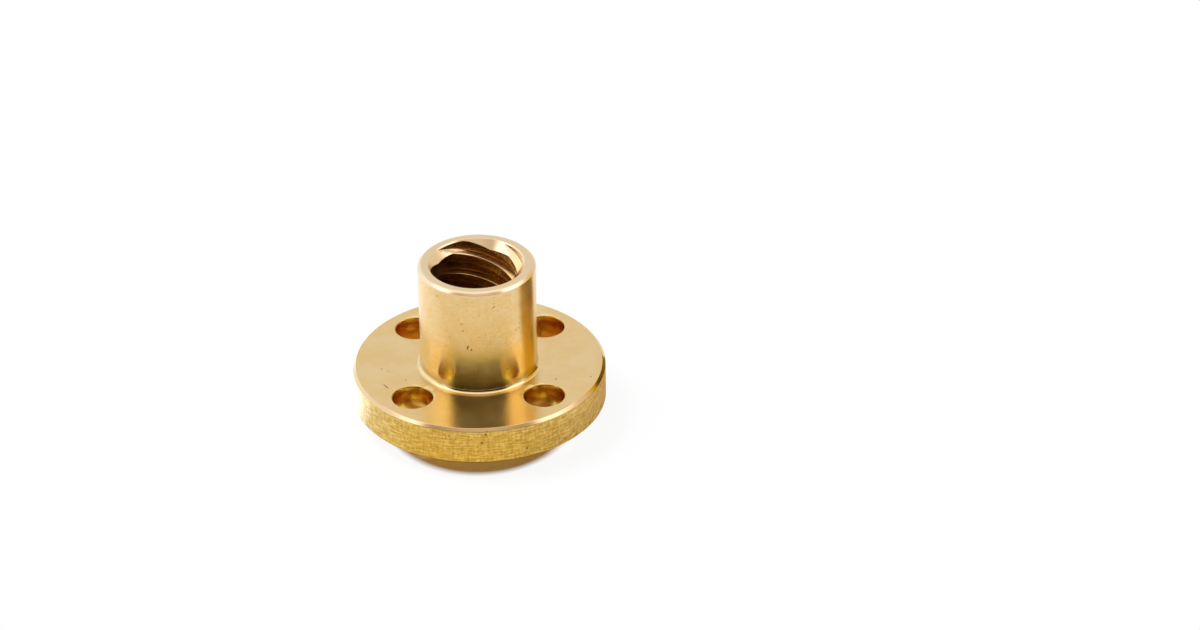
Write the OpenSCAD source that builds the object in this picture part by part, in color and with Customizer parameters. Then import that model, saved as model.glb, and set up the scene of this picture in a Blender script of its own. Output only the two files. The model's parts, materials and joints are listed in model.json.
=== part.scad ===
// Flanged lead screw nut, turned in one piece from brass bar.
// Four-start trapezoidal thread for an 8 mm screw that travels 8 mm a turn.
// Millimetres, Z up. The origin is the centre of the short boss's end face,
// on the screw axis, so the nut stands on Z = 0 with the long boss on top.

/* [Thread] */
// Diameter across the thread crests, which is the plain bore
bore_d = 7.0; // [6.6:0.1:7.4]
// Diameter across the groove bottoms
groove_d = 8.2; // [7.8:0.1:8.4]
// Axial distance from one thread turn to the next
thread_pitch = 2; // [1.8:0.1:2.4]
// Number of separate thread starts
thread_starts = 4; // [1:1:4]
// Axial width of the flat thread crests
crest_w = 0.78; // [0.5:0.02:1]
// Slope of each thread flank from square to the axis, in degrees
flank_angle = 15; // [12:1:18]
// Angle at which one groove crosses the bottom face, in degrees
thread_angle = 85; // [0:1:90]

/* [Long boss] */
// Outer diameter of the long boss
boss_d = 10.2; // [10:0.1:10.6]
// Height of the long boss above the flange
boss_h = 10; // [6:0.5:14]
// Chamfer around the outer top edge of the long boss
boss_edge = 0.25; // [0.05:0.05:0.35]
// Radius of the fillet where the long boss meets the flange
boss_root_r = 0.35; // [0.1:0.05:0.4]
// Diameter of the countersink at the top mouth
top_sink_d = 8.4; // [7.6:0.1:9]

/* [Flange] */
// Outer diameter of the flange
flange_d = 22; // [21:0.5:26]
// Thickness of the flange
flange_t = 3.5; // [2.5:0.1:5]
// Chamfer around both flange edges
flange_edge = 0.25; // [0.05:0.05:0.3]

/* [Short boss] */
// Outer diameter of the short boss under the flange
pilot_d = 10.2; // [10:0.1:10.6]
// Height of the short boss under the flange
pilot_h = 1.5; // [0.8:0.1:3]
// Chamfer around the lower edge of the short boss
pilot_edge = 0.2; // [0.05:0.05:0.2]
// Radius of the fillet where the short boss meets the flange
pilot_root_r = 0.2; // [0.1:0.05:0.3]
// Diameter of the countersink at the bottom mouth
bottom_sink_d = 9.2; // [7.8:0.1:9.4]

/* [Mounting holes] */
// Number of mounting holes
hole_count = 4; // [3:1:6]
// Diameter of each mounting hole
hole_d = 3.5; // [3:0.1:3.8]
// Diameter of the circle through the hole centres
hole_circle_d = 16; // [15.6:0.1:16.4]
// Angle of the first mounting hole, in degrees
hole_angle = 45; // [0:5:90]
// Edge break at both ends of each mounting hole
hole_edge = 0.1; // [0.05:0.05:0.2]

/* [Detail] */
// Facets around a full turn of the turned surfaces
turned_facets = 144; // [96:24:240]
// Facets around a full turn of the thread
thread_facets = 60; // [48:12:72]

/* [Hidden] */
// Each node is one physical piece

// Radii of the turned surfaces
bore_r = bore_d / 2;
groove_r = groove_d / 2;
boss_r = boss_d / 2;
flange_r = flange_d / 2;
pilot_r = pilot_d / 2;
top_sink_r = top_sink_d / 2;
bottom_sink_r = bottom_sink_d / 2;

// Heights of the faces above the origin
flange_low = pilot_h;
flange_top = flange_low + flange_t;
total_h = flange_top + boss_h;

// A cutting tool runs this far past the face it cuts through
overrun = 0.5;
// The small edge-break cones run past by less, to stay clear of the bosses
edge_overrun = 0.1;

// Lead of the thread and the groove's axial half widths
lead = thread_pitch * thread_starts;
groove_half_w = (thread_pitch - crest_w) / 2;
groove_inner_r = bore_r - overrun;
groove_half_inner = groove_half_w + overrun * tan(flank_angle);
groove_half_outer = groove_half_w - (groove_r - bore_r) * tan(flank_angle);

// The groove starts and ends clear of both end faces
groove_z0 = -groove_half_inner - overrun;
groove_z1 = total_h + groove_half_inner + overrun;
groove_steps = ceil((groove_z1 - groove_z0) / lead * thread_facets);

// Segments in each small fillet
fillet_steps = 6;

brass = [0.86, 0.68, 0.36];

// Concave quarter fillet of radius r, centred on [x, z], from angle a0 to a1
function fillet_arc(x, z, r, a0, a1) =
    [for (i = [0 : fillet_steps])
        let (a = a0 + (a1 - a0) * i / fillet_steps)
            [x + r * cos(a), z + r * sin(a)]];

// Half section of the solid turned blank, from the axis outwards
module blank_section() {
    polygon(concat(
        [[0, 0],
         [pilot_r - pilot_edge, 0],
         [pilot_r, pilot_edge]],
        fillet_arc(pilot_r + pilot_root_r, flange_low - pilot_root_r, pilot_root_r, 180, 90),
        [[flange_r - flange_edge, flange_low],
         [flange_r, flange_low + flange_edge],
         [flange_r, flange_top - flange_edge],
         [flange_r - flange_edge, flange_top]],
        fillet_arc(boss_r + boss_root_r, flange_top + boss_root_r, boss_root_r, 270, 180),
        [[boss_r, total_h - boss_edge],
         [boss_r - boss_edge, total_h],
         [0, total_h]]));
}

// Turned blank with both bosses and the flange
module blank() {
    rotate_extrude($fn = turned_facets) blank_section();
}

// Through bore at the thread's crest diameter, with a 45 degree
// countersink at each mouth
module bore_cut() {
    translate([0, 0, -overrun])
        cylinder(h = total_h + 2 * overrun, r = bore_r, $fn = turned_facets);
    translate([0, 0, total_h - (top_sink_r - bore_r)])
        cylinder(h = top_sink_r - bore_r + overrun,
                 r1 = bore_r, r2 = top_sink_r + overrun, $fn = turned_facets);
    translate([0, 0, -overrun])
        cylinder(h = bottom_sink_r - bore_r + overrun,
                 r1 = bottom_sink_r + overrun, r2 = bore_r, $fn = turned_facets);
}

// Corners of the groove section at step i of the helix, lower flank first
function groove_section(i) =
    let (z = groove_z0 + i * lead / thread_facets,
         a = 360 * z / lead)
        [[groove_inner_r * cos(a), groove_inner_r * sin(a), z - groove_half_inner],
         [groove_r * cos(a), groove_r * sin(a), z - groove_half_outer],
         [groove_r * cos(a), groove_r * sin(a), z + groove_half_outer],
         [groove_inner_r * cos(a), groove_inner_r * sin(a), z + groove_half_inner]];

// One right-handed helical groove, a trapezoid in the section through the axis
module groove_cut() {
    last = 4 * groove_steps;
    polyhedron(
        points = [for (i = [0 : groove_steps]) each groove_section(i)],
        faces = concat(
            [[3, 2, 1, 0]],
            [for (i = [0 : groove_steps - 1]) for (k = [0 : 3])
                let (a = 4 * i + k,
                     b = 4 * i + (k + 1) % 4)
                    each [[a, b, a + 4], [b, b + 4, a + 4]]],
            [[last, last + 1, last + 2, last + 3]]),
        convexity = 8);
}

// All the thread starts, evenly spaced around the axis
module thread_cut() {
    for (k = [0 : thread_starts - 1])
        rotate([0, 0, thread_angle + k * 360 / thread_starts]) groove_cut();
}

// One mounting hole with an edge break at each end
module hole_cut() {
    hole_r = hole_d / 2;
    translate([0, 0, flange_low - overrun])
        cylinder(h = flange_t + 2 * overrun, r = hole_r, $fn = turned_facets);
    translate([0, 0, flange_low - edge_overrun])
        cylinder(h = hole_edge + edge_overrun,
                 r1 = hole_r + hole_edge + edge_overrun, r2 = hole_r, $fn = turned_facets);
    translate([0, 0, flange_top - hole_edge])
        cylinder(h = hole_edge + edge_overrun,
                 r1 = hole_r, r2 = hole_r + hole_edge + edge_overrun, $fn = turned_facets);
}

// Mounting holes on their circle
module hole_cuts() {
    for (k = [0 : hole_count - 1])
        rotate([0, 0, hole_angle + k * 360 / hole_count])
            translate([hole_circle_d / 2, 0, 0]) hole_cut();
}

// The whole nut
module lead_screw_nut() {
    color(brass)
        difference() {
            blank();
            bore_cut();
            thread_cut();
            hole_cuts();
        }
}

lead_screw_nut();
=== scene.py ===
import json
import math
import random

import bmesh
import bpy
from mathutils import Matrix, Vector


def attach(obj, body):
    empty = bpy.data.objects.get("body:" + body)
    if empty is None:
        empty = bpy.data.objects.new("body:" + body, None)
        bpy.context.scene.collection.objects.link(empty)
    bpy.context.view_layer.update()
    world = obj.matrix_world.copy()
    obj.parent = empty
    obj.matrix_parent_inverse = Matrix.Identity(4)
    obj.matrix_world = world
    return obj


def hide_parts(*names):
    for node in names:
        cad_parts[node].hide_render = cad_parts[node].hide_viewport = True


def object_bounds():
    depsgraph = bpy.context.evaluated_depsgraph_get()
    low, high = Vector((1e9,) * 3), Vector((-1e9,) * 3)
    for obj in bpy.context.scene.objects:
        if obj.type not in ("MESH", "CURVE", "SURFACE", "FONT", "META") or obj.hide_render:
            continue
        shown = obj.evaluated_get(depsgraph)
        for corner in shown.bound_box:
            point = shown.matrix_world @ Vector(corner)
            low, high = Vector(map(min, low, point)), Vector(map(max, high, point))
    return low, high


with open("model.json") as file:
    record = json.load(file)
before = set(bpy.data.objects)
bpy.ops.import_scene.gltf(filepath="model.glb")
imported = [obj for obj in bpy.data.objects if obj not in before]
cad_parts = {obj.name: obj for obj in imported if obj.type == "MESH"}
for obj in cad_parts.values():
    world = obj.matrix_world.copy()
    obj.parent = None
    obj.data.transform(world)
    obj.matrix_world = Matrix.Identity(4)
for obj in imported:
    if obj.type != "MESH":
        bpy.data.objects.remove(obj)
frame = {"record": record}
cad_low, cad_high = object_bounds()

# The nut and the cards are made in millimetres and scaled to metres at the end, on the row
# frame's axes. Places of the floor, cards, lamp and camera are in metres.
MM = 0.001

# ---------------------------------------------------------------- sizes from the frame, in mm
mounts = {m["name"]: m for m in frame["record"]["mounts"]}


def mount_size(name, key):
    return mounts[name]["dims"][key]


def mount_height(name):
    return mounts[name]["pos_m"][2] / MM


BORE_R = mount_size("screw_thread", "r_mm")
BOSS_R = mount_size("long_boss", "r_mm")
PILOT_R = mount_size("short_boss", "r_mm")
HOLE_R = mount_size("mounting_holes", "hole_r_mm")
HOLE_CIRCLE_R = mount_size("mounting_holes", "pcd_mm") / 2
HOLE_COUNT = mount_size("mounting_holes", "count")
FLANGE_LOW = mount_height("flange_underside")
FLANGE_TOP = mount_height("flange_top")
FLANGE_R = cad_high.x / MM
TOTAL_H = cad_high.z / MM

# ---------------------------------------------------------------- sizes of the smaller forms, in mm
# The frame doesn't give these, so they repeat the values in part.scad
TOP_SINK_R = 4.2
BOTTOM_SINK_R = 4.6
BOSS_EDGE = 0.25
BOSS_ROOT_R = 0.35
FLANGE_EDGE = 0.25
PILOT_EDGE = 0.2
PILOT_ROOT_R = 0.2
HOLE_EDGE = 0.1
FIRST_HOLE_DEG = 45
GROOVE_R = 4.1
THREAD_PITCH = 2.0
THREAD_STARTS = 4
CREST_W = 0.78
FLANK_DEG = 15
FIRST_GROOVE_DEG = 85
LEAD = THREAD_PITCH * THREAD_STARTS

# Rounding between the faces, which the solid leaves out
CORNER_R = 0.05
BOSS_SIDE_CORNER_R = 0.02
BOSS_END_CORNER_R = 0.35
CREST_ROUND = 0.05
GROOVE_ROUND = 0.08

# Fineness of the meshes, and how far the cutters pass what they cut
TURNED_STEPS = 288
THREAD_STEP_DEG = 1.0
HOLE_STEPS = 72
CARD_STEPS = 48
BORE_OVERRUN = 0.5
GROOVE_OVERRUN = 2.0
HOLE_OVERRUN_LOW = 0.25
HOLE_OVERRUN_TOP = 0.1

# Edges that turn by more than this are shaded sharp
SHARP_DEG = 35


# ---------------------------------------------------------------- profiles
def rounded(corners, steps=4):
    """Closed outline of (x, z, radius) corners, each rounded by an arc of that radius."""
    outline = []
    for i, (x, z, radius) in enumerate(corners):
        here = Vector((x, z))
        before = Vector(corners[i - 1][:2]) - here
        after = Vector(corners[(i + 1) % len(corners)][:2]) - here
        before.normalize()
        after.normalize()
        half_turn = (math.pi - before.angle(after)) / 2
        bisector = (before + after).normalized()
        centre = here + bisector * radius / math.cos(half_turn)
        start = here + before * radius * math.tan(half_turn) - centre
        end = here + after * radius * math.tan(half_turn) - centre
        for k in range(steps + 1):
            spoke = start.slerp(end, k / steps)
            outline.append(centre + spoke.normalized() * radius)
    return outline


def with_support(outline, margin=0.04, longest=0.8):
    """The outline with points close to the ends of each straight run, and along it."""
    full = []
    for a, b in zip(outline, outline[1:] + outline[:1]):
        full.append(a)
        run = (b - a).length
        if run < 4 * margin:
            continue
        step = (b - a) / run
        full.append(a + step * margin)
        count = math.ceil((run - 2 * margin) / longest)
        full += [a + step * (margin + (run - 2 * margin) * k / count) for k in range(1, count)]
        full.append(b - step * margin)
    return full


def nut_outline():
    """The nut's section on one side of the axis, without thread, holes and dents."""
    corners = [
        (BORE_R, BOTTOM_SINK_R - BORE_R, CORNER_R),
        (BOTTOM_SINK_R, 0, CORNER_R),
        (PILOT_R - PILOT_EDGE, 0, CORNER_R),
        (PILOT_R, PILOT_EDGE, CORNER_R),
        (PILOT_R, FLANGE_LOW, PILOT_ROOT_R),
        (FLANGE_R - FLANGE_EDGE, FLANGE_LOW, CORNER_R),
        (FLANGE_R, FLANGE_LOW + FLANGE_EDGE, CORNER_R),
        (FLANGE_R, FLANGE_TOP - FLANGE_EDGE, CORNER_R),
        (FLANGE_R - FLANGE_EDGE, FLANGE_TOP, CORNER_R),
        (BOSS_R, FLANGE_TOP, BOSS_ROOT_R),
        (BOSS_R, TOTAL_H - BOSS_EDGE, BOSS_SIDE_CORNER_R),
        (BOSS_R - BOSS_EDGE, TOTAL_H, BOSS_END_CORNER_R),
        (TOP_SINK_R, TOTAL_H, CORNER_R),
        (BORE_R, TOTAL_H - (TOP_SINK_R - BORE_R), CORNER_R),
    ]
    return with_support(rounded(corners))


# ---------------------------------------------------------------- mesh makers
def mesh_of(name, points, faces):
    mesh = bpy.data.meshes.new(name)
    mesh.from_pydata(points, [], faces)
    mesh.update()
    return mesh


def mesh_from(name, form):
    """A mesh of what was built with bmesh, which is freed."""
    mesh = bpy.data.meshes.new(name)
    form.to_mesh(mesh)
    form.free()
    return mesh


def lathe_mesh(name, outline, steps):
    """A closed ring of that section, turned round the Z axis."""
    count = len(outline)
    points = []
    for i in range(steps):
        turn = 2 * math.pi * i / steps
        points += [(p.x * math.cos(turn), p.x * math.sin(turn), p.y) for p in outline]
    faces = []
    for i in range(steps):
        here, there = i * count, (i + 1) % steps * count
        for k in range(count):
            up = (k + 1) % count
            faces.append((here + k, there + k, there + up, here + up))
    return mesh_of(name, points, faces)


def groove_section():
    """Section of one groove cutter as (radius, height from the groove's centre) points.

    Two short slopes round off each crest's edge and each corner of the groove's floor.
    """
    slope = math.tan(math.radians(FLANK_DEG))
    half_w = (THREAD_PITCH - CREST_W) / 2
    root_half = half_w - (GROOVE_R - BORE_R) * slope
    crest, root = CREST_ROUND, GROOVE_ROUND
    upper = [
        (BORE_R - BORE_OVERRUN, half_w + crest * 4),
        (BORE_R, half_w + crest * 0.75),
        (BORE_R + crest * 0.25, half_w + crest * 0.3),
        (BORE_R + crest, half_w - crest * slope),
        (GROOVE_R - root, root_half + root * slope),
        (GROOVE_R - root * 0.3, root_half - root * 0.2),
        (GROOVE_R, root_half - root),
    ]
    lower = [(r, -h) for r, h in reversed(upper)]
    return upper + lower


def groove_mesh():
    """The helical groove cutters, each a section swept up a right-handed helix."""
    section = groove_section()
    count = len(section)
    low, high = -GROOVE_OVERRUN, TOTAL_H + GROOVE_OVERRUN
    steps = math.ceil((high - low) / LEAD * 360 / THREAD_STEP_DEG)
    points, faces = [], []
    for start in range(THREAD_STARTS):
        base = len(points)
        for i in range(steps + 1):
            z = low + (high - low) * i / steps
            turn = math.radians(FIRST_GROOVE_DEG + 360 * start / THREAD_STARTS + 360 * z / LEAD)
            points += [(r * math.cos(turn), r * math.sin(turn), z + h) for r, h in section]
        for i in range(steps):
            here = base + i * count
            for k in range(count):
                up = (k + 1) % count
                faces.append((here + k, here + up, here + count + up, here + count + k))
        faces.append(tuple(base + k for k in reversed(range(count))))
        faces.append(tuple(base + steps * count + k for k in range(count)))
    return mesh_of("groove_cutters", points, faces)


def hole_section():
    """Section of one hole cutter as (radius, height) points, with a rounded break at both faces."""
    wide = HOLE_R + HOLE_EDGE
    middle = HOLE_EDGE * 0.35
    return [
        (wide, FLANGE_LOW - HOLE_OVERRUN_LOW),
        (wide, FLANGE_LOW),
        (HOLE_R + middle, FLANGE_LOW + middle),
        (HOLE_R, FLANGE_LOW + HOLE_EDGE),
        (HOLE_R, FLANGE_TOP - HOLE_EDGE),
        (HOLE_R + middle, FLANGE_TOP - middle),
        (wide, FLANGE_TOP),
        (wide, FLANGE_TOP + HOLE_OVERRUN_TOP),
    ]


def hole_mesh():
    """The mounting hole cutters, evenly placed round the axis."""
    drums = bmesh.new()
    turns = [2 * math.pi * i / HOLE_STEPS for i in range(HOLE_STEPS)]
    for k in range(HOLE_COUNT):
        place = Matrix.Rotation(math.radians(FIRST_HOLE_DEG + 360 * k / HOLE_COUNT), 4, "Z")
        place = place @ Matrix.Translation((HOLE_CIRCLE_R, 0, 0))
        rings = []
        for r, z in hole_section():
            ring = [Vector((r * math.cos(turn), r * math.sin(turn), z)) for turn in turns]
            rings.append([drums.verts.new(place @ point) for point in ring])
        for lower, upper in zip(rings, rings[1:]):
            for i in range(HOLE_STEPS):
                j = (i + 1) % HOLE_STEPS
                drums.faces.new((lower[i], lower[j], upper[j], upper[i]))
        drums.faces.new(list(reversed(rings[0])))
        drums.faces.new(rings[-1])
    return mesh_from("hole_cutters", drums)


# ---------------------------------------------------------------- dents
def on_round(radius, angle_deg, z):
    """Point and outward direction on an upright round face of that radius."""
    turn = math.radians(angle_deg)
    out = Vector((math.cos(turn), math.sin(turn), 0))
    return out * radius + Vector((0, 0, z)), out


def on_boss(angle_deg, z):
    return on_round(BOSS_R, angle_deg, z)


def on_rim(angle_deg, z):
    return on_round(FLANGE_R, angle_deg, z)


def on_flange(x, y):
    """Point and outward direction on the flange's top face."""
    return Vector((x, y, FLANGE_TOP)), Vector((0, 0, 1))


# Dents that the nut has: place, width, length, depth and turn of the long side, in mm and degrees
DENTS = [
    (on_boss(-99.0, 9.59), 0.15, 0.42, 0.07, 70),
    (on_boss(-95.7, 9.35), 0.12, 0.26, 0.06, 60),
    (on_boss(-110.9, 6.79), 0.22, 0.26, 0.09, 0),
    (on_boss(-92.8, 7.33), 0.14, 0.17, 0.06, 0),
    (on_boss(-60.8, 6.99), 0.15, 0.26, 0.07, 30),
    (on_boss(-103.5, 11.21), 0.12, 0.15, 0.05, 0),
    (on_boss(-49.3, 10.56), 0.12, 0.12, 0.05, 0),
    (on_boss(-72.7, 13.52), 0.07, 0.36, 0.03, 35),
    (on_boss(-131.2, 14.07), 0.09, 0.20, 0.03, 0),
    (on_boss(-29.8, 9.72), 0.10, 0.14, 0.04, 0),
    (on_flange(-8.0, -3.87), 0.13, 0.85, 0.05, -58),
    (on_flange(-6.31, -2.86), 0.13, 0.18, 0.06, 20),
    (on_flange(-6.36, -4.39), 0.10, 0.30, 0.10, 70),
    (on_flange(6.68, -3.03), 0.16, 0.20, 0.06, 0),
    (on_flange(-8.44, -1.02), 0.13, 0.16, 0.04, 0),
    (on_flange(-7.91, -1.36), 0.12, 0.15, 0.04, 0),
    (on_flange(9.71, -2.70), 0.11, 0.14, 0.04, 0),
    (on_rim(-85.9, 4.93), 0.17, 0.40, 0.10, 90),
    (on_rim(-86.4, 4.52), 0.14, 0.22, 0.07, 90),
    (on_rim(-88.3, 3.67), 0.20, 0.24, 0.07, 0),
    (on_rim(-67.8, 2.57), 0.22, 0.24, 0.06, 0),
    (on_rim(-104.8, 4.30), 0.12, 0.20, 0.05, 0),
    (on_rim(-103.0, 4.25), 0.10, 0.18, 0.05, 0),
]
DENT_SEED = 7
DENT_UNEVEN = (0.9, 1.08)


def dent_mesh():
    """Small uneven pebbles, half sunk in the surface, that cut the dents."""
    seeded = random.Random(DENT_SEED)
    pebbles = bmesh.new()
    for (point, out), width, length, depth, turn in DENTS:
        side = Vector((0, 0, 1)).cross(out) if abs(out.z) < 0.5 else Vector((1, 0, 0))
        axes = Matrix((side, out.cross(side), out)).transposed()
        place = Matrix.Translation(point) @ axes.to_4x4()
        place = place @ Matrix.Rotation(math.radians(turn), 4, "Z")
        place = place @ Matrix.Diagonal((length / 2, width / 2, depth, 1))
        made = bmesh.ops.create_icosphere(pebbles, subdivisions=3, radius=1)["verts"]
        for v in made:
            v.co = place @ (v.co * seeded.uniform(*DENT_UNEVEN))
    return mesh_from("dent_cutters", pebbles)


# ---------------------------------------------------------------- cutting
def in_scene(name, data):
    """A new object of that mesh, lamp or camera, in the scene."""
    thing = bpy.data.objects.new(name, data)
    bpy.context.scene.collection.objects.link(thing)
    return thing


def cut(piece, cutter_mesh):
    """Cuts the cutter mesh out of the piece, and keeps each side's material slots."""
    cutter = in_scene(cutter_mesh.name, cutter_mesh)
    modifier = piece.modifiers.new("cut", "BOOLEAN")
    modifier.operation = "DIFFERENCE"
    modifier.solver = "MANIFOLD"
    modifier.object = cutter
    ready = piece.evaluated_get(bpy.context.evaluated_depsgraph_get())
    cut_mesh = bpy.data.meshes.new_from_object(ready)
    piece.modifiers.clear()
    piece.data = cut_mesh
    bpy.data.objects.remove(cutter)


# ---------------------------------------------------------------- node helpers
class Nodes:
    """Short calls that add nodes to one material or world.

    A zone is a value from 0 to 1. spread makes it climb from low to high, all_of multiplies
    zones and any_of takes the larger. Bounds of zones on x, y, z and radius are in mm.
    """

    def __init__(self, tree):
        self.tree = tree

    def add(self, kind, **settings):
        node = self.tree.nodes.new(kind)
        for key, value in settings.items():
            setattr(node, key, value)
        return node

    def feed(self, socket, value):
        if isinstance(value, bpy.types.NodeSocket):
            self.tree.links.new(value, socket)
        else:
            socket.default_value = value

    def math(self, operation, a, b=0.0):
        node = self.add("ShaderNodeMath", operation=operation)
        self.feed(node.inputs[0], a)
        self.feed(node.inputs[1], b)
        return node.outputs[0]

    def total(self, a, b):
        return self.math("ADD", a, b)

    def any_of(self, a, b):
        return self.math("MAXIMUM", a, b)

    def all_of(self, first, *others):
        for other in others:
            first = self.math("MULTIPLY", first, other)
        return first

    def spread(self, value, low, high, to_low=0.0, to_high=1.0):
        node = self.add("ShaderNodeMapRange")
        node.inputs["From Min"].default_value = low
        node.inputs["From Max"].default_value = high
        node.inputs["To Min"].default_value = to_low
        node.inputs["To Max"].default_value = to_high
        self.feed(node.inputs["Value"], value)
        return node.outputs[0]

    def axes(self, place):
        """The x, y and z of a position."""
        node = self.add("ShaderNodeSeparateXYZ")
        self.feed(node.inputs[0], place)
        return node.outputs[0], node.outputs[1], node.outputs[2]

    def joined(self, x, y, z=0.0):
        node = self.add("ShaderNodeCombineXYZ")
        for socket, value in zip(node.inputs, (x, y, z)):
            self.feed(socket, value)
        return node.outputs[0]

    def distance(self, place):
        node = self.add("ShaderNodeVectorMath", operation="LENGTH")
        self.feed(node.inputs[0], place)
        return node.outputs["Value"]

    def place_mm(self, stretch=(1, 1, 1)):
        """Position on the object in millimetres, stretched along the axes."""
        coords = self.add("ShaderNodeTexCoord")
        mapping = self.add("ShaderNodeMapping")
        mapping.inputs["Scale"].default_value = [s / MM for s in stretch]
        self.feed(mapping.inputs["Vector"], coords.outputs["Object"])
        return mapping.outputs["Vector"]

    def distance_mm(self, point):
        """Distance on the object from that point, in millimetres."""
        node = self.add("ShaderNodeVectorMath", operation="SUBTRACT")
        self.feed(node.inputs[0], self.place_mm())
        node.inputs[1].default_value = point
        return self.distance(node.outputs[0])

    def radius_mm(self):
        """Distance from the Z axis, in millimetres."""
        x, y = self.axes(self.place_mm())[:2]
        return self.distance(self.joined(x, y))

    def round_place(self, around=0.0, outward=0.0, upward=0.0):
        """Angle round the Z axis in radians, radius and height in mm, each times its factor."""
        x, y, z = self.axes(self.place_mm())
        angle = self.math("ARCTAN2", y, x)
        return self.joined(
            self.all_of(angle, around),
            self.all_of(self.distance(self.joined(x, y)), outward),
            self.all_of(z, upward),
        )

    def noise(self, place, scale, detail=2.0, roughness=0.5):
        node = self.add("ShaderNodeTexNoise")
        self.feed(node.inputs["Vector"], place)
        node.inputs["Scale"].default_value = scale
        node.inputs["Detail"].default_value = detail
        node.inputs["Roughness"].default_value = roughness
        return node.outputs["Fac"]

    def mix(self, factor, a, b):
        """Colour a where the factor is 0 and colour b where it is 1."""
        node = self.add("ShaderNodeMix", data_type="RGBA")
        self.feed(node.inputs["Factor"], factor)
        self.feed(node.inputs[6], a)
        self.feed(node.inputs[7], b)
        return node.outputs[2]

    def blend(self, factor, a, b):
        """Shader a where the factor is 0 and shader b where it is 1."""
        node = self.add("ShaderNodeMixShader")
        for socket, value in zip(node.inputs, (factor, a, b)):
            self.feed(socket, value)
        return node.outputs[0]

    def ramp(self, value, stops):
        """Colour that climbs through the (place, colour) stops, placed from 0 to 1."""
        node = self.add("ShaderNodeValToRGB")
        node.color_ramp.interpolation = "EASE"
        elements = node.color_ramp.elements
        while len(elements) < len(stops):
            elements.new(0.5)
        for element, (place, colour) in zip(elements, stops):
            element.position = place
            element.color = (*colour, 1)
        self.feed(node.inputs[0], value)
        return node.outputs[0]

    def bump(self, height, strength, depth_mm):
        node = self.add("ShaderNodeBump")
        node.inputs["Strength"].default_value = strength
        node.inputs["Distance"].default_value = depth_mm * MM
        self.feed(node.inputs["Height"], height)
        return node.outputs["Normal"]


# ---------------------------------------------------------------- the nut's materials
BRASS_WARM = (0.77, 0.525, 0.185, 1)
BRASS_PALE = (0.83, 0.63, 0.30, 1)
# Painted reflection: golden brass low on the long boss's front and right
BRASS_GOLD_REFLECTION = (0.82, 0.59, 0.15, 1)
BRASS_FACE_WARM = (0.80, 0.555, 0.215, 1)
BRASS_FACE_PALE = (0.815, 0.605, 0.28, 1)
# Painted highlight: paler brass on the end faces
BRASS_END_HIGHLIGHT = (0.81, 0.63, 0.35, 1)
# Painted highlight: paler brass on the countersinks, the top of the long boss and the thread's mouth
BRASS_HIGHLIGHT = (0.82, 0.59, 0.31, 1)
BRASS_EDGE = (0.70, 0.45, 0.19, 1)
# Painted highlight: paler brass on the flange's left edges
BRASS_EDGE_HIGHLIGHT = (0.86, 0.78, 0.55, 1)
BRASS_RIM = (0.60, 0.41, 0.08, 1)
BRASS_RIM_PALE = (0.93, 0.73, 0.29, 1)
BRASS_DRILLED = (0.79, 0.49, 0.13, 1)
BRASS_DEEP = (0.76, 0.45, 0.09, 1)
# Painted shade in the holes, and a painted highlight on the front holes' outer walls
BRASS_HOLE_SHADE = (0.61, 0.36, 0.08, 1)
BRASS_HOLE_HIGHLIGHT = (0.95, 0.80, 0.32, 1)
BRASS_THREAD = (0.70, 0.46, 0.16, 1)
BRASS_THREAD_PALE = (0.74, 0.50, 0.20, 1)
# Painted shade: darker thread deeper in the bore
BRASS_THREAD_SHADE = (0.66, 0.42, 0.12, 1)
# Tarnish for the small dark spots, and also painted shade above the long boss's fillet
TARNISH_AND_SHADE = (0.20, 0.13, 0.04, 1)
GREEN_TARNISH = (0.42, 0.30, 0.05, 1)
DIRT = (0.24, 0.15, 0.05, 1)
DIRT_PALE = (0.50, 0.34, 0.12, 1)
VERDIGRIS = (0.22, 0.22, 0.07, 1)

# Centre of the green stain where the long boss meets the flange, on the right
ROOT_STAIN = (5.1, -0.6, 5.85)

# Turn of the tool marks' blur, as a share of a full turn
ACROSS_MARKS = 0.25


def metal(name):
    """A new all-metal material, its shader and its node helper."""
    material = bpy.data.materials.new(name)
    material.use_nodes = True
    shader = material.node_tree.nodes["Principled BSDF"]
    shader.inputs["Metallic"].default_value = 1.0
    return material, shader, Nodes(material.node_tree)


def finish(shader, n, colour, roughness, normal=None, tool_marks=0.0):
    """Feeds the shader. Tool marks run round the Z axis and blur what is reflected across them."""
    n.feed(shader.inputs["Base Color"], colour)
    n.feed(shader.inputs["Roughness"], roughness)
    if normal is not None:
        n.feed(shader.inputs["Normal"], normal)
    if tool_marks:
        shader.inputs["Anisotropic"].default_value = tool_marks
        shader.inputs["Anisotropic Rotation"].default_value = ACROSS_MARKS
        tangent = n.add("ShaderNodeTangent", direction_type="RADIAL", axis="Z")
        n.feed(shader.inputs["Tangent"], tangent.outputs[0])


def spotted(n, mottle, grain):
    """Two close shades of brass with small dark spots."""
    shade = n.spread(n.total(mottle, grain), 0.75, 1.25)
    specks = n.spread(n.noise(n.place_mm(), scale=4.0), 0.66, 0.74, 0.0, 0.45)
    return n.mix(specks, n.mix(shade, BRASS_WARM, BRASS_PALE), TARNISH_AND_SHADE)


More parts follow.
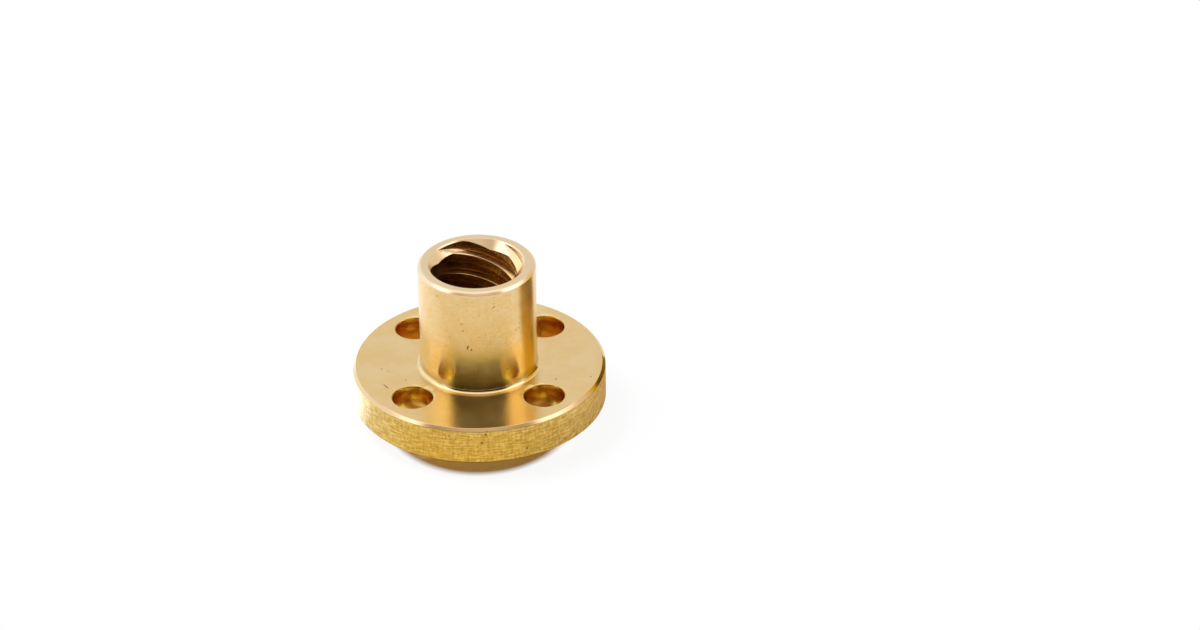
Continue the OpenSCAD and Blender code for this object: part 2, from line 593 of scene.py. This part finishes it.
def with_boss_foot_reflection_and_shade(n, colour, x, y, z):
    """Golden low on the boss's front and right, a painted reflection, with a faint line of painted
    shade above the fillet, in the corner where the boss meets the flange.
    """
    above_fillet = n.spread(z, FLANGE_TOP + BOSS_ROOT_R, FLANGE_TOP + BOSS_ROOT_R + 0.05)
    low = n.spread(z, FLANGE_TOP + 4.6, FLANGE_TOP + 3.4, 0.0, 0.8)
    # Painted reflection: golden brass low on the boss's front and right
    golden_reflection = n.all_of(above_fillet, low, n.spread(x, -3.6, -2.6), n.spread(y, 3.5, 0.5))
    # Painted shade in the corner just above the fillet
    corner_shade = n.all_of(above_fillet, n.spread(z, FLANGE_TOP + 1.1, FLANGE_TOP + 0.5, 0.0, 0.45))
    return n.mix(corner_shade, n.mix(golden_reflection, colour, BRASS_GOLD_REFLECTION), TARNISH_AND_SHADE)


def with_boss_end_highlight(n, colour, z, radius):
    """Paler brass in the countersinks and at the top of the long boss: a painted highlight."""
    sink = n.spread(radius, TOP_SINK_R + 0.4, TOP_SINK_R + 0.2)
    top = n.spread(z, TOTAL_H - BOSS_EDGE - 0.3, TOTAL_H - BOSS_EDGE - 0.1)
    # Painted highlight on the countersinks and the boss's top
    return n.mix(n.any_of(sink, top), colour, BRASS_HIGHLIGHT)


def with_flange_edges(n, colour, x, y, radius):
    """Brown on the flange's front edges, and pale on its left ones, which is a painted highlight."""
    edge = n.spread(radius, FLANGE_R - 0.8, FLANGE_R - 0.6)
    front = n.all_of(edge, n.spread(y, -2, -6))
    # Painted highlight on the flange's left edges
    left = n.all_of(edge, n.spread(x, -8, -10), n.spread(y, -1.5, 0.5))
    return n.mix(left, n.mix(front, colour, BRASS_EDGE), BRASS_EDGE_HIGHLIGHT)


def turned_brass():
    """The bosses' sides, the chamfers and the fillets: fine rings from the tool, small stains,
    painted light and shade at the long boss's foot and end, and a painted highlight on the flange's
    left edges.
    """
    material, shader, n = metal("turned_brass")
    x, y, z = n.axes(n.place_mm())
    radius = n.radius_mm()
    rings = n.noise(n.round_place(around=0.25, upward=14), scale=1.0, detail=3)
    grain = n.noise(n.round_place(around=14, upward=5), scale=1.0, detail=3, roughness=0.7)
    mottle = n.noise(n.place_mm(), scale=0.9, detail=4, roughness=0.6)
    colour = spotted(n, mottle, grain)
    colour = with_boss_foot_reflection_and_shade(n, colour, x, y, z)
    colour = with_boss_end_highlight(n, colour, z, radius)
    colour = with_flange_edges(n, colour, x, y, radius)
    green = n.spread(n.distance_mm(ROOT_STAIN), 0.25, 0.55, 0.8, 0.0)
    colour = n.mix(green, colour, VERDIGRIS)
    smoother_foot = n.spread(z, FLANGE_TOP + 0.4, FLANGE_TOP + 2.0, 0.11, 0.0)
    roughness = n.math("SUBTRACT", n.spread(mottle, 0.3, 0.7, 0.20, 0.25), smoother_foot)
    normal = n.bump(n.total(rings, grain), strength=0.25, depth_mm=0.006)
    finish(shader, n, colour, roughness, normal, tool_marks=0.7)
    return material


def faced_brass():
    """The flange's faces and the end faces: finer rings, seen as circles, and paler end faces, a
    painted highlight.
    """
    material, shader, n = metal("faced_brass")
    rings = n.noise(n.round_place(around=0.12, outward=12), scale=1.0, detail=3)
    mottle = n.noise(n.place_mm(), scale=0.35, detail=4, roughness=0.6)
    colour = n.mix(n.spread(mottle, 0.38, 0.62), BRASS_FACE_WARM, BRASS_FACE_PALE)
    # The end faces get paler brass, a painted highlight
    on_flange_face = n.spread(n.radius_mm(), BOSS_R, BOSS_R + 0.1)
    colour = n.mix(on_flange_face, BRASS_END_HIGHLIGHT, colour)
    roughness = n.spread(mottle, 0.3, 0.7, 0.21, 0.27)
    normal = n.bump(rings, strength=0.2, depth_mm=0.003)
    finish(shader, n, colour, roughness, normal, tool_marks=0.5)
    return material


def rim_brass():
    """The flange's rim: the bar's drawn skin, rough, streaked round the rim and spotted."""
    material, shader, n = metal("rim_brass")
    streaks = n.noise(n.round_place(around=9, upward=7), scale=1.0, roughness=0.6)
    grain = n.noise(n.round_place(around=50, upward=1.3), scale=1.0, roughness=0.6)
    weave = n.total(n.all_of(streaks, 0.6), n.all_of(grain, 0.4))
    blotches = n.spread(n.noise(n.place_mm(), scale=1.6, detail=3, roughness=0.6), 0.48, 0.72)
    specks = n.spread(n.noise(n.place_mm((1, 1, 1.4)), scale=4.5), 0.62, 0.70)
    colour = n.mix(n.spread(weave, 0.41, 0.59), BRASS_RIM, BRASS_RIM_PALE)
    colour = n.mix(n.all_of(blotches, 0.45), colour, GREEN_TARNISH)
    colour = n.mix(n.all_of(specks, 0.5), colour, TARNISH_AND_SHADE)
    roughness = n.spread(grain, 0.3, 0.7, 0.30, 0.50)
    finish(shader, n, colour, roughness, n.bump(weave, strength=0.5, depth_mm=0.05))
    return material


def drilled_brass():
    """The mounting holes' walls. As in the photo, painted shade makes the front holes' inner walls
    and the back holes' mouths darker, and a painted highlight makes the front holes' outer walls
    paler."""
    material, shader, n = metal("drilled_brass")
    y, z = n.axes(n.place_mm())[1:]
    rings = n.noise(n.place_mm((0.4, 0.4, 6)), scale=1.0, detail=3)
    mottle = n.noise(n.place_mm(), scale=1.2, detail=3)
    colour = n.mix(n.spread(mottle, 0.35, 0.65), BRASS_DEEP, BRASS_DRILLED)
    back_mouth = n.all_of(n.spread(z, FLANGE_TOP - 0.9, FLANGE_TOP - 0.4), n.spread(y, 4.0, 5.0))
    front_inner = n.all_of(n.spread(y, -5.9, -5.3), n.spread(y, 0, -1), n.spread(z, 3.1, 3.5))
    front_outer = n.all_of(n.spread(y, -5.9, -6.5), n.spread(z, 2.8, 3.8))
    # Painted shade at the back holes' mouths and the front holes' inner walls, painted highlight on
    # their outer walls
    colour = n.mix(n.any_of(back_mouth, front_inner), colour, BRASS_HOLE_SHADE)
    colour = n.mix(front_outer, colour, BRASS_HOLE_HIGHLIGHT)
    roughness = n.spread(rings, 0.3, 0.7, 0.16, 0.28)
    finish(shader, n, colour, roughness, n.bump(rings, strength=0.3, depth_mm=0.006))
    return material


def threaded_brass():
    """The bore, the thread's crests, flanks and grooves: paler at the mouth, a painted highlight,
    and darker below, painted shade.
    """
    material, shader, n = metal("threaded_brass")
    z = n.axes(n.place_mm())[2]
    mottle = n.noise(n.place_mm(), scale=0.7)
    colour = n.mix(n.spread(mottle, 0.35, 0.65), BRASS_THREAD, BRASS_THREAD_PALE)
    # Painted shade deeper in the bore and a painted highlight at its mouth
    deep_shade = n.spread(z, TOTAL_H - 2.2, TOTAL_H - 3.6)
    mouth = n.spread(z, TOTAL_H - 1.3, TOTAL_H - 0.8)
    colour = n.mix(mouth, n.mix(deep_shade, colour, BRASS_THREAD_SHADE), BRASS_HIGHLIGHT)
    finish(shader, n, colour, n.spread(mottle, 0.3, 0.7, 0.20, 0.26))
    return material


def stained_brass():
    """The dents and pits, which hold dirt."""
    material, shader, n = metal("stained_brass")
    mottle = n.noise(n.place_mm(), scale=9.0)
    colour = n.mix(n.spread(mottle, 0.35, 0.65), DIRT, DIRT_PALE)
    finish(shader, n, colour, n.spread(mottle, 0.3, 0.7, 0.35, 0.5))
    return material


# ---------------------------------------------------------------- the nut
# The places in FINISHES
TURNED, FACED, RIM, DRILLED, THREADED, STAINED = range(6)
FINISHES = [
    turned_brass(),
    faced_brass(),
    rim_brass(),
    drilled_brass(),
    threaded_brass(),
    stained_brass(),
]

# Bounds of how level a face of the blank is, which is 0 when upright and 1 when level
BORE_LEVEL = 0.2
RIM_LEVEL = 0.3
FACED_LEVEL = 0.98

# How far inside the top countersink's edge a face counts as the bore's, in mm
BORE_MARGIN = 0.02


def zone_of(face):
    """Which finish a face of the turned blank has, from its radius and slope."""
    r = math.hypot(face.center.x, face.center.y)
    level = abs(face.normal.z)
    if r < TOP_SINK_R - BORE_MARGIN and level < BORE_LEVEL:
        return THREADED
    if level > FACED_LEVEL and r > BORE_R:
        return FACED
    if r > FLANGE_R - CORNER_R and level < RIM_LEVEL:
        return RIM
    return TURNED


def paint(mesh, zone=None):
    """Gives the mesh all the finishes. Its faces get that zone's, or else the one of their place."""
    mesh.materials.clear()
    for material in FINISHES:
        mesh.materials.append(material)
    for face in mesh.polygons:
        face.material_index = zone_of(face) if zone is None else zone
    return mesh


def sharpen_dents(mesh):
    """The dents' outlines stay crisp, so the smooth surface round them keeps its own shading."""
    form = bmesh.new()
    form.from_mesh(mesh)
    for edge in form.edges:
        zones = {face.material_index for face in edge.link_faces}
        if STAINED in zones and len(zones) > 1:
            edge.smooth = False
    form.to_mesh(mesh)
    form.free()


def make_nut():
    """The turned blank with its grooves, holes and dents cut, in metres."""
    blank = lathe_mesh("lead_screw_nut_finished", nut_outline(), TURNED_STEPS)
    nut = in_scene("lead_screw_nut_finished", paint(blank))
    cut(nut, paint(groove_mesh(), THREADED))
    cut(nut, paint(hole_mesh(), DRILLED))
    cut(nut, paint(dent_mesh(), STAINED))
    nut.data.transform(Matrix.Scale(MM, 4))
    nut.data.shade_smooth()
    nut.data.set_sharp_from_angle(angle=math.radians(SHARP_DEG))
    sharpen_dents(nut.data)
    nut.data.update()
    return nut


nut = make_nut()
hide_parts("lead_screw_nut")
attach(nut, "root")

# ---------------------------------------------------------------- floor
WHITE = (1, 1, 1, 1)
FLOOR_HALF = 1.5

# The floor where it takes the nut's shadow: close to the nut tinted brown, painted warm light
# bounced off the brass, and plain further out
FLOOR_BRASS_BOUNCE = (0.97, 0.80, 0.56, 1)
FLOOR_PLAIN = (0.97, 0.97, 0.97, 1)

# The floor in reflections only, painted with light and shade by place. Values over 1 stand for
# brightly lit parts of a real floor.
SEEN_WARM = (1.0, 0.89, 0.78, 1)
SEEN_FAR = (1.0, 0.99, 1.1, 1)
SEEN_FRONT = (0.88, 0.65, 0.20, 1)
SEEN_BEHIND_LEFT = (1.22, 1.22, 1.35, 1)
SEEN_RIGHT = (0.58, 0.43, 0.27, 1)
SEEN_LEFT = (2.5, 2.9, 4.8, 1)
SEEN_UNDER_FRONT = (1.9, 2.5, 1.9, 1)
SEEN_UNDER_BACK = (0.55, 0.30, 0.06, 1)
SEEN_UNDER_HOLES = (2.8, 3.9, 3.2, 1)


def under_front_holes(n, x, y):
    """Two small round zones, under the inner sides of the front holes."""
    sideways = n.math("SUBTRACT", n.math("ABSOLUTE", x), 5.5)
    forward = n.total(y, 4.5)
    squared = n.total(n.math("POWER", sideways, 2.0), n.math("POWER", forward, 2.0))
    return n.spread(squared, 1.2, 0.3)


def floor_in_reflections(n, x, y, reach):
    """The floor's colour as metal sees it, with painted light and shade by side and by distance from
    the nut's axis.
    """
    # Warmer near the nut, painted light bounced off the brass
    colour = n.mix(n.spread(reach, 18, 28), SEEN_WARM, SEEN_FAR)
    front = n.all_of(n.spread(reach, 22.5, 19), n.spread(y, -6, -12))
    behind_left = n.all_of(n.spread(x, -5, -13), n.spread(y, -8, 14))
    right = n.all_of(n.spread(x, 2, 10), n.spread(reach, 19, 13))
    left = n.all_of(n.spread(x, -7, -11), n.spread(reach, 18, 15), n.spread(y, -3.5, 1.0))
    under_flange = n.mix(n.spread(y, -0.5, 0.5), SEEN_UNDER_FRONT, SEEN_UNDER_BACK)
    # Painted warm shade in front, painted light behind on the left and at the left, painted shadow
    # at the right
    colour = n.mix(front, colour, SEEN_FRONT)
    colour = n.mix(behind_left, colour, SEEN_BEHIND_LEFT)
    colour = n.mix(right, colour, SEEN_RIGHT)
    colour = n.mix(left, colour, SEEN_LEFT)
    # Painted light and shade under the flange, and painted pools of light under the front holes
    colour = n.mix(n.spread(reach, 8.2, 7.8), colour, under_flange)
    return n.mix(under_front_holes(n, x, y), colour, SEEN_UNDER_HOLES)


def floor_glow(n, y, reach, seen):
    """Share of the floor that glows evenly: most of it beyond the nut's edge, so it stays white.

    To the camera the shadow ends sooner at the left and right. Metal also sees a glow under
    the flange, dimmer at the front and in a stripe just in front of the short boss.
    """
    by_camera, by_metal = seen.outputs["Is Camera Ray"], seen.outputs["Is Glossy Ray"]
    oval = n.distance(n.place_mm((1.2, 1, 1)))
    shadow_end = n.math("SUBTRACT", reach, n.all_of(by_metal, 0.7))
    shadow_end = n.any_of(shadow_end, n.all_of(oval, by_camera))
    beyond = n.spread(shadow_end, FLANGE_R - 1.2, FLANGE_R - 0.4, 0.0, 0.93)
    far_beyond = n.spread(reach, FLANGE_R - 0.4, 20, 0.0, 0.07)
    off_spot = n.math("ABSOLUTE", n.total(y, 4.3))
    off_spot = n.any_of(n.spread(off_spot, 0.5, 1.1), n.spread(reach, 6.1, 6.6))
    under_flange = n.all_of(
        n.spread(reach, 7.7, 7.1),
        by_metal,
        n.spread(reach, 4.6, 4.75),
        n.spread(off_spot, 0.0, 1.0, 0.3, 0.95),
        n.spread(y, -5.6, -4.8, 0.5, 1.0),
    )
    return n.total(n.total(beyond, far_beyond), under_flange)


def floor_material():
    """Takes the nut's shadow near it, glows white further out and can't be seen from below."""
    material = bpy.data.materials.new("white_floor")
    material.use_nodes = True
    n = Nodes(material.node_tree)
    n.tree.nodes.clear()
    place = n.place_mm()
    x, y = n.axes(place)[:2]
    reach = n.distance(place)
    seen = n.add("ShaderNodeLightPath")
    shaded = n.add("ShaderNodeBsdfDiffuse")
    # Close to the nut the floor is tinted brown, painted warm light bounced off the brass
    n.feed(shaded.inputs["Color"], n.mix(n.spread(reach, 9.5, 12), FLOOR_BRASS_BOUNCE, FLOOR_PLAIN))
    even = n.add("ShaderNodeEmission")
    reflected = floor_in_reflections(n, x, y, reach)
    n.feed(even.inputs[0], n.mix(seen.outputs["Is Glossy Ray"], WHITE, reflected))
    glow = floor_glow(n, y, reach, seen)
    above = n.blend(glow, shaded.outputs[0], even.outputs[0])
    from_below = n.add("ShaderNodeNewGeometry").outputs["Backfacing"]
    clear = n.add("ShaderNodeBsdfTransparent").outputs[0]
    surface = n.blend(from_below, above, clear)
    n.feed(n.add("ShaderNodeOutputMaterial").inputs[0], surface)
    return material


def make_floor():
    """A plain white floor that the nut stands on."""
    h = FLOOR_HALF
    corners = [(-h, -h, 0), (h, -h, 0), (h, h, 0), (-h, h, 0)]
    floor = in_scene("floor", mesh_of("floor", corners, [(0, 1, 2, 3)]))
    floor.data.materials.append(floor_material())


# ---------------------------------------------------------------- world
def grey(brightness):
    return (brightness, brightness, brightness)


SHADE = (0.035, 0.035, 0.03)
OVERHEAD = (1.45, 1.35, 1.8)
SOFTBOX = (2.4, 2.3, 3.3)
BACK_WALL = (0.89, 0.89, 1.0)
LEFT_WALL = (1.22, 1.38, 1.9, 1)
BACK_LEFT_WALL = (1.06, 1.25, 1.65, 1)
FLOOR_LIGHT = 0.12

# What metal sees in each direction, from the horizon at 0 to overhead at 1
FRONT_UP = [
    (0.0, SHADE),
    (0.42, SHADE),
    (0.55, grey(0.5)),
    (0.65, grey(0.85)),
    (0.80, OVERHEAD),
    (1.0, OVERHEAD),
]
SIDE_UP = [
    (0.0, grey(0.9)),
    (0.35, grey(1.0)),
    (0.45, SOFTBOX),
    (0.56, SOFTBOX),
    (0.72, grey(1.5)),
    (1.0, OVERHEAD),
]
BACK_UP = [
    (0.0, grey(0.93)),
    (0.40, BACK_WALL),
    (0.7, grey(1.3)),
    (1.0, OVERHEAD),
]

# The dark front fades between 50 and 66 degrees from straight ahead, and the softboxes at the
# sides start between 58 and 68 degrees from straight ahead and from straight back
FRONT_FULL = math.cos(math.radians(50))
FRONT_END = math.cos(math.radians(66))
SIDE_START = math.sin(math.radians(58))
SIDE_FULL = math.sin(math.radians(68))


def room_in_reflections(n):
    """The studio as metal sees it: dark in front, softboxes at both sides, brighter at the left."""
    x, y, z = n.axes(n.add("ShaderNodeTexCoord").outputs["Generated"])
    level = n.math("SQRT", n.total(n.math("POWER", x, 2.0), n.math("POWER", y, 2.0)))
    height = n.math("DIVIDE", n.math("ARCTAN2", z, level), math.pi / 2)
    forward = n.math("DIVIDE", n.all_of(y, -1.0), level)
    leftward = n.math("DIVIDE", n.all_of(x, -1.0), level)
    aside = n.math("DIVIDE", n.math("ABSOLUTE", x), level)
    is_front = n.spread(forward, FRONT_END, FRONT_FULL)
    is_side = n.spread(aside, SIDE_START, SIDE_FULL)
    low = n.spread(height, 0.48, 0.40)
    is_left = n.all_of(n.spread(leftward, 0.65, 0.85), low)
    is_back_left = n.all_of(n.spread(leftward, 0.25, 0.5), n.spread(forward, -0.3, -0.5), low)
    around = n.mix(is_side, n.ramp(height, BACK_UP), n.ramp(height, SIDE_UP))
    around = n.mix(is_back_left, around, BACK_LEFT_WALL)
    around = n.mix(is_left, around, LEFT_WALL)
    return n.mix(is_front, around, n.ramp(height, FRONT_UP))


def background(n, colour, strength=1.0):
    node = n.add("ShaderNodeBackground")
    n.feed(node.inputs[0], colour)
    node.inputs[1].default_value = strength
    return node.outputs[0]


def make_world():
    """White to the camera, dim to the floor and a lit studio to metal."""
    world = bpy.data.worlds.new("studio")
    world.use_nodes = True
    bpy.context.scene.world = world
    world.cycles.sampling_method = "NONE"
    n = Nodes(world.node_tree)
    n.tree.nodes.clear()
    seen = n.add("ShaderNodeLightPath")
    floor_sees = background(n, WHITE, FLOOR_LIGHT)
    camera_sees = background(n, WHITE)
    metal_sees = background(n, room_in_reflections(n))
    not_metal = n.blend(seen.outputs["Is Camera Ray"], floor_sees, camera_sees)
    all_see = n.blend(seen.outputs["Is Glossy Ray"], not_metal, metal_sees)
    n.feed(n.add("ShaderNodeOutputWorld").inputs[0], all_see)


# ---------------------------------------------------------------- lamp
# In metres and watts
LAMP_SIZE = 0.18
LAMP_POWER = 2.0
LAMP_PLACE = (-0.21, 0.02, 0.40)
LAMP_TARGET = (0, 0, 0.005)


def make_lamp():
    """One soft lamp overhead, a little to the left and behind, that isn't seen in reflections."""
    light = bpy.data.lights.new("soft_lamp", "AREA")
    light.shape = "DISK"
    light.size = LAMP_SIZE
    light.energy = LAMP_POWER
    lamp = in_scene("soft_lamp", light)
    lamp.location = LAMP_PLACE
    aim = Vector(LAMP_TARGET) - lamp.location
    lamp.rotation_euler = aim.to_track_quat("-Z", "Y").to_euler()
    lamp.visible_glossy = False


# ---------------------------------------------------------------- cards
CARD_PLACE = (0.0212, 0.0013, 0.0113)
CARD_TURN_DEG = -27
FLOOR_CARD_PLACE = (0.0245, 0.0070, 0.00005)
FLOOR_CARD_TURN_DEG = -68

# Each card's colours from its low edge at 0 to its high edge at 1, along its own Y axis
CARD_COLOURS = [
    (0.05, (0.57, 0.31, 0.02)),
    (0.17, (0.40, 0.23, 0.06)),
    (0.26, (0.21, 0.11, 0.025)),
    (0.34, (0.13, 0.065, 0.015)),
    (0.42, (0.88, 0.65, 0.04)),
]
FLOOR_CARD_COLOURS = [
    (0.20, (0.66, 0.37, 0.02)),
    (0.36, (0.50, 0.28, 0.03)),
    (0.52, (0.32, 0.18, 0.04)),
]


def card_material(name, radius, fade, stops, notched):
    """A glow in those colours that fades at the edge. A notched card is clear at its upper right."""
    material = bpy.data.materials.new(name)
    material.use_nodes = True
    n = Nodes(material.node_tree)
    n.tree.nodes.clear()
    here = n.add("ShaderNodeTexCoord").outputs["Object"]
    x, y = n.axes(here)[:2]
    glow = n.add("ShaderNodeEmission")
    n.feed(glow.inputs[0], n.ramp(n.spread(y, -radius, radius), stops))
    is_clear = n.spread(n.distance(here), radius - fade, radius)
    if notched:
        is_clear = n.any_of(is_clear, n.all_of(n.spread(x, -1, 3), n.spread(y, -4, -1)))
    clear = n.add("ShaderNodeBsdfTransparent").outputs[0]
    surface = n.blend(is_clear, glow.outputs[0], clear)
    n.feed(n.add("ShaderNodeOutputMaterial").inputs[0], surface)
    return material


def make_card(name, place, radius, fade, stops, notched=False):
    """A round card that only metal sees. Its radius and fade are in mm."""
    turns = [2 * math.pi * k / CARD_STEPS for k in range(CARD_STEPS)]
    edge = [(radius * math.cos(turn), radius * math.sin(turn), 0) for turn in turns]
    card = in_scene(name, mesh_of(name, edge, [tuple(range(CARD_STEPS))]))
    card.matrix_world = place @ Matrix.Scale(MM, 4)
    card.data.materials.append(card_material(name, radius, fade, stops, notched))
    for kind in ("camera", "diffuse", "shadow", "transmission"):
        setattr(card, "visible_" + kind, False)


def turned(degrees, axis):
    return Matrix.Rotation(math.radians(degrees), 4, axis)


def make_amber_cards():
    """The warm tones at the right: painted reflections of brass beside the nut and of the floor
    round its foot, with painted shade.
    """
    upright = Matrix.Translation(CARD_PLACE) @ turned(CARD_TURN_DEG, "Z") @ turned(90, "X")
    make_card("amber_card", upright, radius=11.3, fade=0.3, stops=CARD_COLOURS, notched=True)
    flat = Matrix.Translation(FLOOR_CARD_PLACE) @ turned(FLOOR_CARD_TURN_DEG, "Z")
    make_card("amber_floor_card", flat, radius=11.2, fade=2.3, stops=FLOOR_CARD_COLOURS)


# ---------------------------------------------------------------- camera
# Fitted to the outlines in the photo
CAMERA_PLACE = (0.01057, -0.40244, 0.25722)
CAMERA_TILT_DEG = 58.394
CAMERA_ROLL_DEG = -0.784
SENSOR_MM = 36
LENS_MM = 163.76
CLIP_NEAR = 0.01
CLIP_FAR = 10


def make_camera():
    """The camera looks along +Y and down, with a slight roll."""
    data = bpy.data.cameras.new("camera")
    data.sensor_width = SENSOR_MM
    data.lens = LENS_MM
    data.clip_start = CLIP_NEAR
    data.clip_end = CLIP_FAR
    camera = in_scene("camera", data)
    place = Matrix.Translation(CAMERA_PLACE)
    camera.matrix_world = place @ turned(CAMERA_TILT_DEG, "X") @ turned(CAMERA_ROLL_DEG, "Z")
    bpy.context.scene.camera = camera


make_floor()
make_world()
make_lamp()
make_amber_cards()
make_camera()
bpy.context.scene.view_settings.view_transform = "Standard"
bpy.context.scene.cycles.glossy_bounces = 8

bpy.context.view_layer.update()
